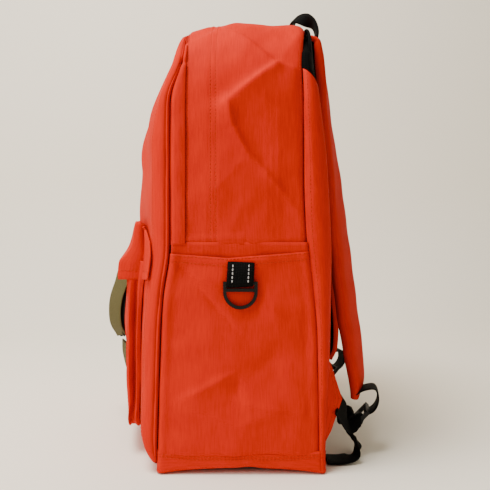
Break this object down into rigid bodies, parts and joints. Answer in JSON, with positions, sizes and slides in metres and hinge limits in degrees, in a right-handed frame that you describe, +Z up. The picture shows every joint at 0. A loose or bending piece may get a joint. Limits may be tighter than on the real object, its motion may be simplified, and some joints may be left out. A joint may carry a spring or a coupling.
{
  "type": "travel backpack",
  "caption": "Soft travel backpack with an arched clamshell front, a flapped front pocket, side pockets with hanging rings, a haul loop and padded shoulder straps.",
  "frame": {"origin": "centre of the base on the floor, midway between the pack's sides", "axes": "+X towards the side with the D-ring seen in the picture; -Y the front with the flap; +Y the back with the straps; +Z up"},
  "size_m": [0.314, 0.2986, 0.4752],
  "materials": {
    "orange_oxford": "matt woven polyester",
    "black_mesh": "open spacer mesh",
    "black_webbing": "ribbed webbing",
    "olive_webbing": "ribbed webbing",
    "black_plastic": "fine moulded grain",
    "black_metal": "black paint",
    "foam": "closed-cell foam",
    "board": "smooth sheet",
    "lining": "plain lining cloth"
  },
  "bodies": {
    "pack": {"base_panel": "orange_oxford", "base_board": "board", "upper_gusset": "orange_oxford", "zip_strip": "orange_oxford", "back_mesh": "black_mesh", "back_foam": "foam", "frame_sheet": "board", "laptop_sleeve": "lining", "zip_half_pack": "black_webbing", "lower_side_right": "orange_oxford", "lower_side_left": "orange_oxford", "side_pocket_right": "orange_oxford", "side_pocket_left": "orange_oxford", "rear_gusset_right": "orange_oxford", "rear_gusset_left": "orange_oxford", "ring_tab_right": "black_webbing", "ring_tab_left": "black_webbing", "wing_right": "orange_oxford", "wing_left": "orange_oxford", "anchor_webbing_right": "black_webbing", "anchor_webbing_left": "black_webbing"},
    "front_section": {"front_gusset": "orange_oxford", "front_panel": "orange_oxford", "front_lining": "lining", "zip_half_front": "black_webbing", "front_pocket_wall": "orange_oxford", "front_pocket_face": "orange_oxford", "lower_strap": "olive_webbing", "buckle_base": "black_plastic"},
    "front_flap": {"flap_cover": "orange_oxford", "closure_strap": "olive_webbing", "buckle_hook": "black_plastic", "flap_side_right": "orange_oxford", "flap_side_left": "orange_oxford"},
    "haul_handle": {"haul_handle": "black_webbing"},
    "d_ring_right": {"d_ring_right": "black_plastic"},
    "slider_upper": {"zip_slider_upper": "black_metal"},
    "pull_upper": {"zip_pull_upper": "black_metal"},
    "shoulder_strap_right": {"strap_cover_right": "orange_oxford", "strap_foam_right": "foam", "strap_mesh_right": "black_mesh", "strap_link_right": "black_webbing"},
    "ladder_lock_right": {"ladder_lock_right": "black_plastic"},
    "d_ring_left": {"d_ring_left": "black_plastic"},
    "slider_lower": {"zip_slider_lower": "black_metal"},
    "pull_lower": {"zip_pull_lower": "black_metal"},
    "shoulder_strap_left": {"strap_cover_left": "orange_oxford", "strap_foam_left": "foam", "strap_mesh_left": "black_mesh", "strap_link_left": "black_webbing"},
    "ladder_lock_left": {"ladder_lock_left": "black_plastic"}
  },
  "joints": [
    {"name": "front_opening", "type": "hinge", "parent": "pack", "child": "front_section", "pos_m": [0, -0.0772, 0.0062], "axis": [1, 0, 0], "range_deg": [0, 26]},
    {"name": "flap_lift", "type": "hinge", "parent": "front_section", "child": "front_flap", "pos_m": [0, -0.1098, 0.2335], "axis": [-1, 0, 0], "range_deg": [0, 110]},
    {"name": "handle_lean", "type": "hinge", "parent": "pack", "child": "haul_handle", "pos_m": [0, 0.086, 0.4386], "axis": [1, 0, 0], "range_deg": [-50, 8]},
    {"name": "d_ring_swing_right", "type": "hinge", "parent": "pack", "child": "d_ring_right", "pos_m": [0.1539, 0.001, 0.179], "axis": [0, -1, 0], "range_deg": [0, 115]},
    {"name": "slider_travel_upper", "type": "slide", "parent": "pack", "child": "slider_upper", "axis": [0, 0, 1], "range_m": [0, 0.03]},
    {"name": "pull_lift_upper", "type": "hinge", "parent": "slider_upper", "child": "pull_upper", "pos_m": [-0.1529, -0.0645, 0.2961], "axis": [0, -1, 0], "range_deg": [0, 90]},
    {"name": "strap_swing_right", "type": "hinge", "parent": "pack", "child": "shoulder_strap_right", "pos_m": [0.045, 0.072, 0.431], "axis": [1, 0, 0], "range_deg": [0, 10], "deforming": ["anchor_webbing_right"]},
    {"name": "lock_tilt_right", "type": "hinge", "parent": "shoulder_strap_right", "child": "ladder_lock_right", "pos_m": [0.092, 0.134, 0.045], "axis": [0.9781, -0.208, 0], "range_deg": [-10, 40]},
    {"name": "d_ring_swing_left", "type": "hinge", "parent": "pack", "child": "d_ring_left", "pos_m": [-0.1539, 0.001, 0.179], "axis": [0, 1, 0], "range_deg": [0, 115]},
    {"name": "slider_travel_lower", "type": "slide", "parent": "pack", "child": "slider_lower", "axis": [0, 0, -1], "range_m": [0, 0.03]},
    {"name": "pull_lift_lower", "type": "hinge", "parent": "slider_lower", "child": "pull_lower", "pos_m": [-0.1529, -0.0645, 0.2837], "axis": [0, 1, 0], "range_deg": [0, 90]},
    {"name": "strap_swing_left", "type": "hinge", "parent": "pack", "child": "shoulder_strap_left", "pos_m": [-0.045, 0.072, 0.431], "axis": [1, 0, 0], "range_deg": [0, 10], "deforming": ["anchor_webbing_left"]},
    {"name": "lock_tilt_left", "type": "hinge", "parent": "shoulder_strap_left", "child": "ladder_lock_left", "pos_m": [-0.092, 0.134, 0.045], "axis": [0.9781, 0.208, 0], "range_deg": [-10, 40]}
  ]
}
